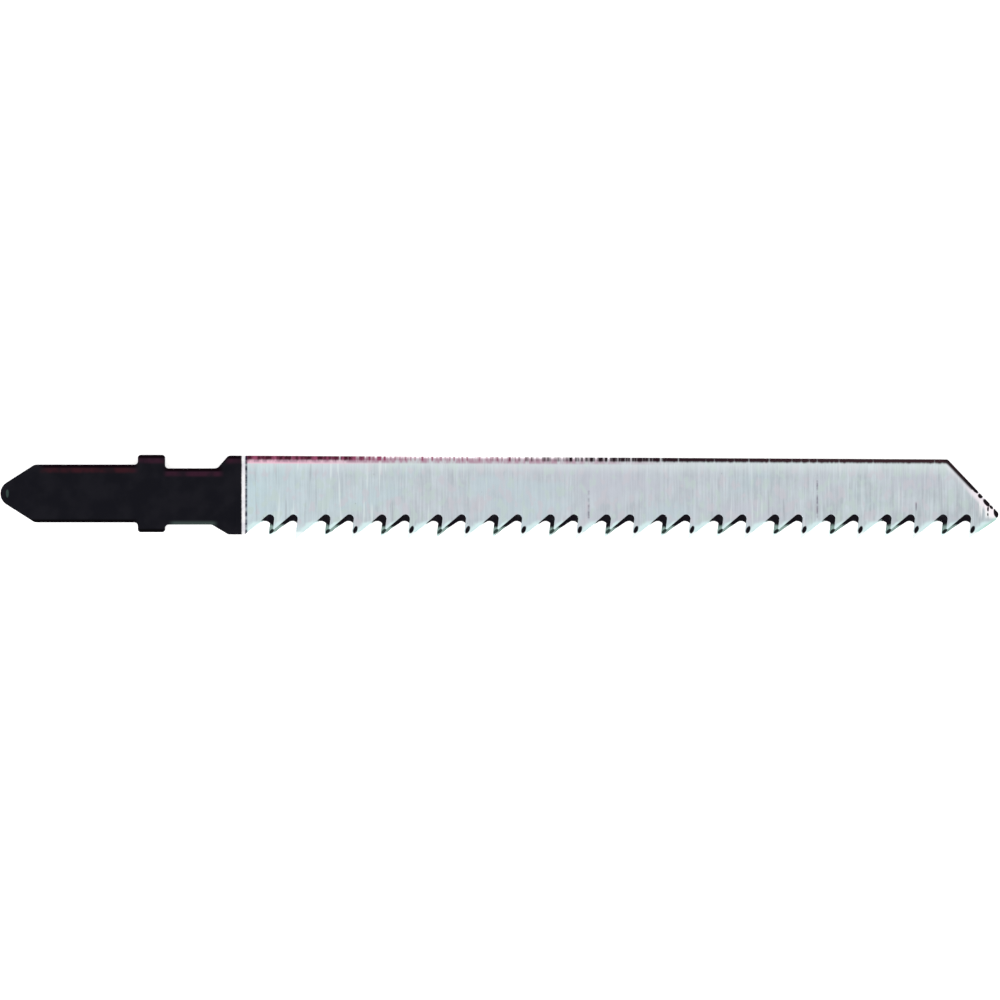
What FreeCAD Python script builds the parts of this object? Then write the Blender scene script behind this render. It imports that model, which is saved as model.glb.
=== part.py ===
import FreeCAD, Part
import math
import os
import Sketcher

# Jigsaw blade for wood, with a T shank, punched from one strip of steel. Both faces of the blade are
# ground, a little thinner toward the back, and every second gullet is ground at the opposite slant.
# It lies flat: X runs from the shank to the nose, Y from the teeth (-) to the back edge (+), and Z
# through the thickness, with zero at mid thickness. The origin is the middle of the T shank's lugs.
# Lengths are in millimetres, angles in degrees.

SIZES = {
    "strip_thickness": 1.5,

    # T shank, from its rounded end to the lugs
    "tail_reach": 15.12,
    "tail_angle": 32.4,
    "tail_round": 1.3,
    "tail_shoulder_round": 0.8,
    "shank_width": 5.8,
    "lug_reach": 0.975,
    "lug_length": 2.7,
    "lug_corner_round": 0.3,
    "lug_root_round": 0.35,

    # Neck, a little nearer the teeth than the shank, and the flare that widens it to the blade
    "neck_length": 6.6,
    "neck_step_back": 0.38,
    "neck_step_teeth": 0.22,
    "neck_root_round": 0.6,
    "flare_angle_back": 49.0,
    "flare_angle_teeth": 31.0,
    "flare_corner_round": 0.4,

    # Blade
    "back_height": 3.8,
    "heel_depth": 4.11,
    "nose_height": 3.42,
    "nose_angle": 46.5,
    "nose_gap": 2.94,
    "nose_top_round": 0.25,
    "nose_tip_round": 0.45,

    # Ground faces, from a step at the heel to the nose. The teeth keep the strip's full thickness.
    "grind_start": 9.45,
    "grind_depth_back": 0.2,
    "back_edge_round": 0.26,

    # Teeth, measured at mid thickness. The even tips stand tooth_shift nearer the shank than midway.
    "tooth_count": 26,
    "tooth_pitch": 2.81,
    "tooth_shift": 0.07,
    "first_tip": 11.9,
    "tip_depth": 4.17,
    "hook_angle": 7.5,
    "relief_angle": 34.0,
    "fleam_angle": 15.6,
    "gullet_round": 0.62,

    # A gullet opens toward both faces, where its roof is higher and tighter and its back steeper
    "face_relief_angle": 41.0,
    "face_gullet_round": 0.42,
}

doc = FreeCAD.newDocument("jigsaw_blade")
sheet = doc.addObject("Spreadsheet::Sheet", "sizes")
for row, (alias, size) in enumerate(SIZES.items(), start=1):
    sheet.set(f"A{row}", alias)
    sheet.set(f"B{row}", str(size))
    sheet.setAlias(f"B{row}", alias)
doc.recompute()

# Lengths that follow from the sheet, as expressions that the features share

UPPER_FACE = "sizes.strip_thickness / 2"
OVERCUT = "sizes.strip_thickness"
TAIL_APEX = "(sizes.tail_reach + sizes.tail_round * (1 / sin(sizes.tail_angle) - 1))"
TAIL_SHOULDER = f"({TAIL_APEX} - sizes.shank_width / 2 / tan(sizes.tail_angle))"
LUG_HALF_WIDTH = "(sizes.shank_width / 2 + sizes.lug_reach)"
NECK_BACK = "(sizes.shank_width / 2 - sizes.neck_step_back)"
NECK_TEETH = "(sizes.shank_width / 2 + sizes.neck_step_teeth)"
FLARE_END = f"(sizes.neck_length + (sizes.back_height - {NECK_BACK}) / tan(sizes.flare_angle_back))"
FLARE_START_TEETH = f"({FLARE_END} - (sizes.heel_depth - {NECK_TEETH}) / tan(sizes.flare_angle_teeth))"
HEEL_END = "(sizes.first_tip - sizes.tooth_pitch / 2)"
FACE_HALF_AT_BACK = "(sizes.strip_thickness / 2 - sizes.grind_depth_back)"

# A gullet slants by SLANT between mid thickness and each face. So each tooth ends in a point at one
# face, deeper than its tip at mid thickness, and the blank is deeper still, because the gullets
# leave nothing of its edge.
SLANT = "(sizes.strip_thickness / 2 * tan(sizes.fleam_angle))"
POINT_DEPTH = (f"(sizes.tip_depth + (2 * {SLANT} + sizes.tooth_shift)"
               " / (1 / tan(sizes.face_relief_angle) - tan(sizes.hook_angle)))")
BLANK_DEPTH = f"({POINT_DEPTH} + sizes.grind_depth_back)"
CUT_DEPTH = f"({BLANK_DEPTH} + {OVERCUT})"

# The nose meets the back of the last tooth at the nose tip
LAST_TIP = "(sizes.first_tip + (sizes.tooth_count - 1) * sizes.tooth_pitch)"
NOSE_TIP_X = f"({LAST_TIP} + sizes.nose_gap)"
NOSE_TIP_DEPTH = "(sizes.tip_depth - sizes.nose_gap * tan(sizes.relief_angle))"
NOSE_START = f"({NOSE_TIP_X} - (sizes.nose_height + {NOSE_TIP_DEPTH}) / tan(sizes.nose_angle))"
NOSE_END = f"({NOSE_TIP_X} + ({BLANK_DEPTH} - {NOSE_TIP_DEPTH}) / tan(sizes.nose_angle))"

body = doc.addObject("PartDesign::Body", "blade")
body.Label = "blade"


def value_of(expression):
    """The present value of an expression on the sheet."""
    return float(sheet.evalExpression(expression))


def point_of(place):
    """The point of a sketch that a pair of expressions gives."""
    return FreeCAD.Vector(value_of(place[0]), value_of(place[1]), 0)


def origin_feature(role):
    """The body's own origin plane or axis with this role."""
    return next(item for item in body.Origin.OriginFeatures if item.Role == role)


def add_arc(sketch, start, stop, centre):
    """Draws the shorter arc from start to stop. Returns the numbers of its two ends, in that order.

    An arc runs anticlockwise from its end 1 to its end 2.
    """
    anticlockwise = (start - centre).cross(stop - centre).z > 0
    first, second = (start, stop) if anticlockwise else (stop, start)
    turns = [math.atan2(end.y - centre.y, end.x - centre.x) for end in (first, second)]
    circle = Part.Circle(centre, FreeCAD.Vector(0, 0, 1), (start - centre).Length)
    sketch.addGeometry(Part.ArcOfCircle(circle, turns[0], turns[1]), False)
    return (1, 2) if anticlockwise else (2, 1)


def draw_profile(name, role, places, height="0", arcs=None):
    """Draws a closed profile in a sketch of its own, fully tied to the sheet.

    places are its corners, as pairs of expressions. height moves the sketch off the origin plane
    with this role. arcs has, for each corner that an arc starts at, the arc's centre and radius.
    """
    sketch = body.newObject("Sketcher::SketchObject", name)
    sketch.AttachmentSupport = [(origin_feature(role), "")]
    sketch.MapMode = "FlatFace"
    sketch.setExpression("AttachmentOffset.Base.z", height)
    arcs = arcs or {}
    points = [point_of(place) for place in places]
    ends = []
    for line, (start, stop) in enumerate(zip(points, points[1:] + points[:1])):
        if line in arcs:
            centre, radius = arcs[line]
            ends.append(add_arc(sketch, start, stop, point_of(centre)))
            held = sketch.addConstraint(Sketcher.Constraint("Radius", line, value_of(radius)))
            sketch.setExpression(f"Constraints[{held}]", radius)
        else:
            sketch.addGeometry(Part.LineSegment(start, stop), False)
            ends.append((1, 2))
    for line, place in enumerate(places):
        before = line - 1 if line else len(places) - 1
        sketch.addConstraint(
            Sketcher.Constraint("Coincident", before, ends[before][1], line, ends[line][0]))
        for kind, length in zip(("DistanceX", "DistanceY"), place):
            held = sketch.addConstraint(
                Sketcher.Constraint(kind, -1, 1, line, ends[line][0], value_of(length)))
            sketch.setExpression(f"Constraints[{held}]", length)
    return sketch


def round_edges(name, base, edges, radius):
    """A fillet on edges of the body, given by their numbers."""
    fillet = body.newObject("PartDesign::Fillet", name)
    fillet.Base = (base, [f"Edge{number}" for number in edges])
    fillet.setExpression("Radius", radius)
    doc.recompute()
    return fillet


def edges_at(shape, places, reach=0.02):
    """Numbers of the edges that go straight through the thickness at these places in plan."""
    spots = [point_of(place) for place in places]
    found = []
    for number, edge in enumerate(shape.Edges, start=1):
        box = edge.BoundBox
        across = FreeCAD.Vector(box.Center.x, box.Center.y, 0)
        if box.ZLength > box.DiagonalLength - reach and any(
                across.distanceToPoint(spot) < reach for spot in spots):
            found.append(number)
    return found


# Blank: the outline that the punch leaves, before the teeth are cut

OUTLINE = {
    "tail": (f"-{TAIL_APEX}", "0"),
    "tail_back": (f"-{TAIL_SHOULDER}", "sizes.shank_width / 2"),
    "lug_tail_root_back": ("-sizes.lug_length / 2", "sizes.shank_width / 2"),
    "lug_tail_corner_back": ("-sizes.lug_length / 2", LUG_HALF_WIDTH),
    "lug_neck_corner_back": ("sizes.lug_length / 2", LUG_HALF_WIDTH),
    "lug_neck_root_back": ("sizes.lug_length / 2", NECK_BACK),
    "neck_end_back": ("sizes.neck_length", NECK_BACK),
    "flare_end_back": (FLARE_END, "sizes.back_height"),
    "nose_back": (NOSE_START, "sizes.nose_height"),
    "nose_teeth": (NOSE_END, f"-{BLANK_DEPTH}"),
    "heel_blank_teeth": (HEEL_END, f"-{BLANK_DEPTH}"),
    "heel_end_teeth": (HEEL_END, "-sizes.heel_depth"),
    "flare_end_teeth": (FLARE_END, "-sizes.heel_depth"),
    "neck_end_teeth": (FLARE_START_TEETH, f"-{NECK_TEETH}"),
    "lug_neck_root_teeth": ("sizes.lug_length / 2", f"-{NECK_TEETH}"),
    "lug_neck_corner_teeth": ("sizes.lug_length / 2", f"-{LUG_HALF_WIDTH}"),
    "lug_tail_corner_teeth": ("-sizes.lug_length / 2", f"-{LUG_HALF_WIDTH}"),
    "lug_tail_root_teeth": ("-sizes.lug_length / 2", "-sizes.shank_width / 2"),
    "tail_teeth": (f"-{TAIL_SHOULDER}", "-sizes.shank_width / 2"),
}

ROUNDED_CORNERS = {
    "tail_round": ["tail"],
    "tail_shoulder_round": ["tail_back", "tail_teeth"],
    "lug_root_round": ["lug_tail_root_back", "lug_neck_root_back",
                       "lug_tail_root_teeth", "lug_neck_root_teeth"],
    "lug_corner_round": ["lug_tail_corner_back", "lug_neck_corner_back",
                         "lug_tail_corner_teeth", "lug_neck_corner_teeth"],
    "neck_root_round": ["neck_end_back", "neck_end_teeth"],
    "flare_corner_round": ["flare_end_back", "flare_end_teeth"],
    "nose_top_round": ["nose_back"],
}

blank = body.newObject("PartDesign::Pad", "blank")
blank.Profile = draw_profile("outline", "XY_Plane", list(OUTLINE.values()))
blank.SideType = "Symmetric"
blank.setExpression("Length", "sizes.strip_thickness")
doc.recompute()
rounded = blank
for radius, names in ROUNDED_CORNERS.items():
    at_corners = edges_at(rounded.Shape, [OUTLINE[name] for name in names])
    rounded = round_edges(f"{radius}s", rounded, at_corners, f"sizes.{radius}")

# Ground faces: a wedge comes off the upper face, thicker toward the back, and its mirror image off
# the lower one. Then the long edges of the back are rounded, and the nose with them.

upper_grind = body.newObject("PartDesign::Pocket", "upper_grind")
upper_grind.Profile = draw_profile("grind_section", "YZ_Plane", [
    ("-sizes.tip_depth", UPPER_FACE),
    ("sizes.back_height", FACE_HALF_AT_BACK),
    (f"sizes.back_height + {OVERCUT}", FACE_HALF_AT_BACK),
    (f"sizes.back_height + {OVERCUT}", "sizes.strip_thickness"),
    ("-sizes.tip_depth", "sizes.strip_thickness"),
], height="sizes.grind_start")
upper_grind.Type = "ThroughAll"
upper_grind.Reversed = True
doc.recompute()
lower_grind = body.newObject("PartDesign::Mirrored", "lower_grind")
lower_grind.Originals = [upper_grind]
lower_grind.MirrorPlane = (origin_feature("XY_Plane"), [""])
body.Tip = lower_grind
doc.recompute()
half_blade = value_of(f"({NOSE_START} - sizes.grind_start) / 2")
back_edges = [
    number for number, edge in enumerate(lower_grind.Shape.Edges, start=1)
    if edge.BoundBox.YMin > 0 and edge.BoundBox.XLength > half_blade
]
round_edges("back_edges", lower_grind, back_edges, "sizes.back_edge_round")


def draw_gullet(name, tip_x, lean, face):
    """Draws a gullet's section at mid thickness (face 0), or at the strip's upper (1) or lower (-1) face.

    The section is bounded by the back of one tooth, which rises by the relief angle, a round roof,
    and the front of the next tooth, which leans back from its tip by the hook angle. A lean of 1
    moves it to the nose's side at the upper face and to the shank's side at the lower one.
    """
    relief, roof_round = (("sizes.face_relief_angle", "sizes.face_gullet_round") if face
                          else ("sizes.relief_angle", "sizes.gullet_round"))
    tip = f"({tip_x} + ({lean * face}) * {SLANT})"
    front_length = (f"((sizes.tooth_pitch * sin({relief}) - {roof_round}"
                    f" * (1 + sin(sizes.hook_angle + {relief})))"
                    f" / cos(sizes.hook_angle + {relief}))")
    roof_x = f"({tip} + {front_length} * sin(sizes.hook_angle) - {roof_round} * cos(sizes.hook_angle))"
    roof_y = (f"({front_length} * cos(sizes.hook_angle) + {roof_round} * sin(sizes.hook_angle)"
              " - sizes.tip_depth)")
    below_tip = f"({CUT_DEPTH} - sizes.tip_depth)"
    return draw_profile(name, "XY_Plane", [
        (f"{tip} - sizes.tooth_pitch - {below_tip} / tan({relief})", f"-{CUT_DEPTH}"),
        (f"{roof_x} - {roof_round} * sin({relief})", f"{roof_y} + {roof_round} * cos({relief})"),
        (f"{roof_x} + {roof_round} * cos(sizes.hook_angle)",
         f"{roof_y} - {roof_round} * sin(sizes.hook_angle)"),
        (f"{tip} - {below_tip} * tan(sizes.hook_angle)", f"-{CUT_DEPTH}"),
    ], height=f"({face}) * {UPPER_FACE}", arcs={1: ((roof_x, roof_y), roof_round)})


def cut_gullets(side, tip_x, lean, count):
    """Cuts every second gullet, from mid thickness out to each face. tip_x is the first tip that such
    a gullet stands in front of."""
    middle = draw_gullet(f"gullet_middle_{side}", tip_x, lean, 0)
    cuts = []
    for half, face in (("upper", 1), ("lower", -1)):
        cut = body.newObject("PartDesign::SubtractiveLoft", f"{half}_gullet_{side}")
        cut.Profile = middle
        cut.Sections = [draw_gullet(f"{half}_gullet_section_{side}", tip_x, lean, face)]
        cut.Ruled = True
        doc.recompute()
        cuts.append(cut)
    row_of_cuts = body.newObject("PartDesign::LinearPattern", f"gullets_{side}")
    row_of_cuts.Originals = cuts
    row_of_cuts.Direction = (origin_feature("X_Axis"), [""])
    row_of_cuts.setExpression("Length", f"2 * sizes.tooth_pitch * ({count} - 1)")
    row_of_cuts.setExpression("Occurrences", count)
    body.Tip = row_of_cuts
    doc.recompute()


# Gullets: the odd ones lean to the shank as they go down, the even ones to the nose. So from above
# every gullet shows its roof, every odd tooth also its front and its back, and no even tooth either.

cut_gullets("odd", "sizes.first_tip", 1, "ceil(sizes.tooth_count / 2)")
cut_gullets("even", "(sizes.first_tip + sizes.tooth_pitch - sizes.tooth_shift)", -1,
            "floor(sizes.tooth_count / 2)")

# Back of the last tooth, which runs out at the nose. It slants as the next gullet would.

last_lean = 1 if value_of("mod(sizes.tooth_count; 2)") == 0 else -1
last_tip_at_face = f"({LAST_TIP} + ({last_lean}) * {SLANT})"
last_run = f"({NOSE_END} + {OVERCUT} - {last_tip_at_face})"
last_back = body.newObject("PartDesign::Pocket", "last_back")
last_back.Profile = draw_profile("last_back_section", "XY_Plane", [
    (f"{last_tip_at_face} - ({CUT_DEPTH} - sizes.tip_depth) / tan(sizes.relief_angle)", f"-{CUT_DEPTH}"),
    (f"{last_tip_at_face} + {last_run}", f"-{CUT_DEPTH}"),
    (f"{last_tip_at_face} + {last_run}", f"{last_run} * tan(sizes.relief_angle) - sizes.tip_depth"),
], height=UPPER_FACE)
last_back.Type = "ThroughAll"
last_back.UseCustomVector = True
last_back.Direction = FreeCAD.Vector(-last_lean, 0, -value_of("1 / tan(sizes.fleam_angle)"))
doc.recompute()

# Nose tip, rounded from the nose to the last tooth's back

tip_half_angle = "((sizes.nose_angle + sizes.relief_angle) / 2)"
tangent_length = f"(sizes.nose_tip_round / tan{tip_half_angle})"
round_top = (f"({NOSE_TIP_X} - {tangent_length} * cos(sizes.nose_angle))",
             f"({tangent_length} * sin(sizes.nose_angle) - {NOSE_TIP_DEPTH})")
round_bottom = (f"({NOSE_TIP_X} - {tangent_length} * cos(sizes.relief_angle))",
                f"(-{tangent_length} * sin(sizes.relief_angle) - {NOSE_TIP_DEPTH})")
round_centre = (f"{round_top[0]} - sizes.nose_tip_round * sin(sizes.nose_angle)",
                f"{round_top[1]} - sizes.nose_tip_round * cos(sizes.nose_angle)")
nose_tip = body.newObject("PartDesign::Pocket", "nose_tip")
nose_tip.Profile = draw_profile("nose_tip_section", "XY_Plane", [
    round_top,
    (f"{NOSE_TIP_X} + {OVERCUT}", round_top[1]),
    (f"{NOSE_TIP_X} + {OVERCUT}", f"-{CUT_DEPTH}"),
    (round_bottom[0], f"-{CUT_DEPTH}"),
    round_bottom,
], arcs={4: (round_centre, "sizes.nose_tip_round")})
nose_tip.Type = "ThroughAll"
nose_tip.SideType = "Symmetric"
doc.recompute()

# Every object is checked before anything is written

for item in doc.Objects:
    if "Invalid" in item.State or "Error" in item.State:
        raise RuntimeError(f"{item.Name} failed: {item.State}")
if body.Shape.isNull() or not body.Shape.isValid() or len(body.Shape.Solids) != 1:
    raise RuntimeError("the blade is not one valid solid")
os.makedirs("parts", exist_ok=True)
body.Shape.exportStep(f"parts/{body.Label}.step")
box = body.Shape.optimalBoundingBox(False, False)
print(f"blade: {body.Shape.Volume:.2f} mm3, {box.XLength:.3f} x {box.YLength:.3f} x {box.ZLength:.3f} mm,"
      f" from {box.XMin:.3f} to {box.XMax:.3f}, {box.YMin:.3f} to {box.YMax:.3f}")
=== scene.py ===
"""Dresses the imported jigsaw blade: its finishes, and the floor, sky, lamp and camera around it."""

import logging
import math
from dataclasses import dataclass, field, replace
from enum import Enum

import bpy
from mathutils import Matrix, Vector

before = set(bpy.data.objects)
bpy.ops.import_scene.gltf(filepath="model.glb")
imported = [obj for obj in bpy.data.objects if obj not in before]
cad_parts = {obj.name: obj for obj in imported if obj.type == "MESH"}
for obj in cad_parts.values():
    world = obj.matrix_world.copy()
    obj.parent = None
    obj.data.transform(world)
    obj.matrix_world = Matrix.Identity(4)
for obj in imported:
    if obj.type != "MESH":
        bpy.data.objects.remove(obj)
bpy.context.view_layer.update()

MILLIMETRE = 0.001

Colour = tuple[float, float, float]
Axes = tuple[float, float, float]
Place = tuple[float, float]
Channel = bpy.types.NodeSocket | float | Colour

WHITE: Colour = (1.0, 1.0, 1.0)

log = logging.getLogger("jigsaw_blade")


class Sum(Enum):
    """The arithmetic that the finishes are worked out with."""

    ADD = "ADD"
    TAKE = "SUBTRACT"
    TIMES = "MULTIPLY"
    TIMES_ADD = "MULTIPLY_ADD"
    LARGER = "MAXIMUM"
    SIZE = "ABSOLUTE"
    LESS_THAN = "LESS_THAN"
    WRAP = "WRAP"


class Normal(Enum):
    """Which of a surface's normals a finish follows."""

    SMOOTH = "Normal"
    FLAT = "True Normal"


@dataclass(frozen=True)
class Step:
    """A soft step: where it starts and ends, and its numbers before and after.

    Where the start is above the end, before holds above the start and after below the end.
    """

    start: float
    end: float
    before: float = 0.0
    after: float = 1.0


@dataclass(frozen=True)
class Stripe:
    """A stripe: its middle, how far it reaches on either side, and how much of that is fading."""

    middle: float
    half_width: float
    fade: float


@dataclass(frozen=True)
class Grain:
    """A set of random marks.

    It has how many marks there are in a millimetre for each axis, a seed that tells it from the
    other sets, how many finer sets are added and how strong those are.
    """

    density: Axes
    seed: float
    detail: float = 3.0
    roughness: float = 0.55


@dataclass(frozen=True)
class Oval:
    """A spot: its middle, its half sizes, how far it is turned from X in degrees, and its edge."""

    place: Place
    half_length: float
    half_width: float
    turn: float
    rag: Grain = Grain((3.0, 3.0, 3.0), seed=101.0)
    raggedness: float = 0.7
    edge: Step = Step(1.50, 1.00)


class FinishNodes:
    """The nodes of one material, laid down and joined one at a time.

    Places are in millimetres in the part's own frame: X along the blade to the nose, Y across it
    to the back edge and Z up through the thickness.
    """

    ROUNDING_SAMPLES = 6
    GRAIN_STRENGTH = 0.6
    GRAIN_DEPTH = 0.02 * MILLIMETRE
    NUMBER_SOCKETS = (2, 3, 0)  # the two inputs and the output of a mix node, for numbers
    COLOUR_SOCKETS = (6, 7, 2)  # the same for colours

    def __init__(self, name: str) -> None:
        """Makes an empty material.

        Args:
            name: The material's name.
        """
        self.material = bpy.data.materials.new(name)
        self.material.use_nodes = True
        self.tree = self.material.node_tree
        self.tree.nodes.clear()
        place = self.add("ShaderNodeTexCoord").outputs["Object"]
        self.place = self.scaled(place, (1 / MILLIMETRE,) * 3)
        self.along, self.across, _ = self.parts(self.place)

    def add(self, kind: str, **settings: object) -> bpy.types.Node:
        """Adds a node.

        Args:
            kind: Blender's name for the type of node.
            **settings: Properties to set on it.

        Returns:
            The new node.
        """
        node = self.tree.nodes.new(kind)
        for key, value in settings.items():
            setattr(node, key, value)
        return node

    def feed(self, socket: bpy.types.NodeSocket, value: Channel) -> None:
        """Joins an output to an input, or sets the input.

        Args:
            socket: The input.
            value: An output, a number or a colour.
        """
        if isinstance(value, bpy.types.NodeSocket):
            self.tree.links.new(value, socket)
        elif isinstance(value, tuple) and socket.type == "RGBA":
            socket.default_value = (*value, 1.0)
        else:
            socket.default_value = value

    def parts(self, vector: bpy.types.NodeSocket) -> list[bpy.types.NodeSocket]:
        """Splits a vector.

        Args:
            vector: The vector.

        Returns:
            Its X, Y and Z.
        """
        node = self.add("ShaderNodeSeparateXYZ")
        self.feed(node.inputs[0], vector)
        return list(node.outputs)

    def normal(self, kind: Normal) -> bpy.types.NodeSocket:
        """The surface's own normal.

        Args:
            kind: The smooth one or the flat one.

        Returns:
            The normal.
        """
        return self.add("ShaderNodeNewGeometry").outputs[kind.value]

    def rounded_normal(self, radius: float) -> bpy.types.NodeSocket:
        """The normal with every edge rounded.

        Args:
            radius: How far the rounding reaches from an edge, in millimetres.

        Returns:
            The normal.
        """
        node = self.add("ShaderNodeBevel", samples=self.ROUNDING_SAMPLES)
        self.feed(node.inputs["Radius"], radius * MILLIMETRE)
        return node.outputs[0]

    def sum(self, kind: Sum, *values: Channel) -> bpy.types.NodeSocket:
        """Works a number out of others.

        Args:
            kind: Which arithmetic.
            *values: Its numbers.

        Returns:
            The result.
        """
        node = self.add("ShaderNodeMath", operation=kind.value)
        for socket, value in zip(node.inputs, values):
            self.feed(socket, value)
        return node.outputs[0]

    def times(self, first: Channel, *rest: Channel) -> Channel:
        """Multiplies numbers.

        Args:
            first: The first number.
            *rest: The others.

        Returns:
            The product.
        """
        for value in rest:
            first = self.sum(Sum.TIMES, first, value)
        return first

    def scaled(self, vector: bpy.types.NodeSocket, stretch: Axes) -> bpy.types.NodeSocket:
        """Stretches a place along its three axes.

        Args:
            vector: The place.
            stretch: One factor for each axis.

        Returns:
            The stretched place.
        """
        node = self.add("ShaderNodeVectorMath", operation="MULTIPLY")
        self.feed(node.inputs[0], vector)
        self.feed(node.inputs[1], stretch)
        return node.outputs[0]

    def dot(self, first: Channel, second: Channel) -> bpy.types.NodeSocket:
        """The dot product of two vectors.

        Args:
            first: One vector.
            second: The other.

        Returns:
            The product.
        """
        node = self.add("ShaderNodeVectorMath", operation="DOT_PRODUCT")
        self.feed(node.inputs[0], first)
        self.feed(node.inputs[1], second)
        return node.outputs["Value"]

    def flatness(self) -> bpy.types.NodeSocket:
        """How level the surface is, from 0 on an upright side to 1 on a face."""
        _, _, facing_up = self.parts(self.normal(Normal.FLAT))
        return self.sum(Sum.SIZE, facing_up)

    def ramp(self, value: Channel, step: Step) -> bpy.types.NodeSocket:
        """A soft step from one number to another.

        Args:
            value: What the step follows.
            step: The step.

        Returns:
            The result.
        """
        node = self.add("ShaderNodeMapRange", interpolation_type="SMOOTHSTEP")
        limits = (step.start, step.end, step.before, step.after)
        if step.start > step.end:
            limits = (step.end, step.start, step.after, step.before)
        for socket, limit in zip(node.inputs, (value, *limits)):
            self.feed(socket, limit)
        return node.outputs[0]

    def band(self, value: Channel, stripe: Stripe) -> bpy.types.NodeSocket:
        """A stripe that is 1 along its middle and fades at its edges.

        Args:
            value: What runs across the stripe.
            stripe: The stripe.

        Returns:
            The stripe, from 0 to 1.
        """
        off = self.sum(Sum.SIZE, self.sum(Sum.TAKE, value, stripe.middle))
        return self.ramp(off, Step(stripe.half_width, stripe.half_width - stripe.fade))

    def oval(self, oval: Oval, beside: Channel | None = None) -> bpy.types.NodeSocket:
        """A spot with a ragged edge.

        Args:
            oval: The spot.
            beside: How far along a point lies from the spot's middle, where the spot comes back
                at other places. Without it the spot lies at its own X alone.

        Returns:
            1 on the spot and 0 elsewhere.
        """
        if beside is None:
            beside = self.sum(Sum.TAKE, self.along, oval.place[0])
        above = self.sum(Sum.TAKE, self.across, oval.place[1])
        turn = math.radians(oval.turn)
        reach = self.times(self.noise(oval.rag), oval.raggedness)
        for part, other, half in (
            (math.cos(turn), math.sin(turn), oval.half_length),
            (-math.sin(turn), math.cos(turn), oval.half_width),
        ):
            off = self.sum(Sum.TIMES_ADD, beside, part, self.times(above, other))
            reach = self.sum(Sum.TIMES_ADD, self.times(off, off), 1.0 / half**2, reach)
        return self.ramp(reach, oval.edge)

    def noise(self, grain: Grain) -> bpy.types.NodeSocket:
        """Random marks that are fixed to the part.

        Args:
            grain: Which marks.

        Returns:
            The marks, about 0.5.
        """
        node = self.add("ShaderNodeTexNoise", noise_dimensions="4D")
        sockets = {
            "Vector": self.scaled(self.place, grain.density),
            "W": grain.seed,
            "Scale": 1.0,
            "Detail": grain.detail,
            "Roughness": grain.roughness,
        }
        for name, value in sockets.items():
            self.feed(node.inputs[name], value)
        return node.outputs[0]

    def blend(self, mask: Channel, under: Channel, over: Channel) -> Channel:
        """Lays one channel over another.

        Args:
            mask: 0 where the lower one shows and 1 where the upper one does.
            under: The lower one.
            over: The upper one.

        Returns:
            The channel of both.
        """
        if isinstance(under, float) and under == over:
            return under
        colour = any(
            isinstance(value, tuple) or getattr(value, "type", "VALUE") == "RGBA"
            for value in (under, over)
        )
        node = self.add("ShaderNodeMix", data_type="RGBA" if colour else "FLOAT")
        first, second, out = self.COLOUR_SOCKETS if colour else self.NUMBER_SOCKETS
        self.feed(node.inputs[0], mask)
        self.feed(node.inputs[first], under)
        self.feed(node.inputs[second], over)
        return node.outputs[out]

    def finish(
        self, look: "Surface", normal: Channel | None, specular: float, glow: float = 0.0
    ) -> None:
        """Joins a finish to the material's output.

        Args:
            look: The finish.
            normal: The normal that its grain stands on, or None for a surface without grain.
            specular: How strongly its parts that aren't metal reflect.
            glow: How much light it gives by itself.
        """
        shader = self.add("ShaderNodeBsdfPrincipled")
        sockets = {
            "Base Color": look.colour,
            "Metallic": look.metal,
            "Roughness": look.roughness,
            "Specular IOR Level": specular,
            "Emission Color": WHITE,
            "Emission Strength": glow,
        }
        if normal is not None:
            grain = self.add("ShaderNodeBump")
            for name, value in (
                ("Strength", self.GRAIN_STRENGTH),
                ("Distance", self.GRAIN_DEPTH),
                ("Height", look.height),
                ("Normal", normal),
            ):
                self.feed(grain.inputs[name], value)
            sockets["Normal"] = grain.outputs[0]
        for name, value in sockets.items():
            self.feed(shader.inputs[name], value)
        output = self.add("ShaderNodeOutputMaterial")
        self.feed(output.inputs["Surface"], shader.outputs[0])


@dataclass(frozen=True)
class Surface:
    """What a finish gives the shader at each point."""

    colour: Channel
    metal: Channel = 1.0
    roughness: Channel = 0.4
    height: Channel = 0.0

    def under(self, nodes: FinishNodes, mask: Channel, over: "Surface") -> "Surface":
        """Lays another finish over this one.

        Args:
            nodes: The material's nodes.
            mask: 1 where the other finish lies.
            over: The other finish.

        Returns:
            The two together.
        """
        return Surface(
            colour=nodes.blend(mask, self.colour, over.colour),
            metal=nodes.blend(mask, self.metal, over.metal),
            roughness=nodes.blend(mask, self.roughness, over.roughness),
            height=nodes.blend(mask, self.height, over.height),
        )

    def tinted(self, nodes: FinishNodes, mask: Channel, colour: Channel) -> "Surface":
        """Changes the colour alone.

        Args:
            nodes: The material's nodes.
            mask: 1 where the other colour shows.
            colour: The other colour.

        Returns:
            The finish with both colours.
        """
        return replace(self, colour=nodes.blend(mask, self.colour, colour))


@dataclass(frozen=True)
class LongMark:
    """A long mark across the blade: its middle, its half sizes and how its edges fade."""

    place: Place
    half_length: float
    half_width: float
    side_fade: float = 0.05
    end_fade: float = 0.4

    def shape(self, nodes: FinishNodes) -> Channel:
        """Works out where the mark lies.

        Args:
            nodes: The material's nodes.

        Returns:
            1 on the mark and 0 elsewhere.
        """
        along, across = self.place
        return nodes.times(
            nodes.band(nodes.along, Stripe(along, self.half_width, self.side_fade)),
            nodes.band(nodes.across, Stripe(across, self.half_length, self.end_fade)),
        )


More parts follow.
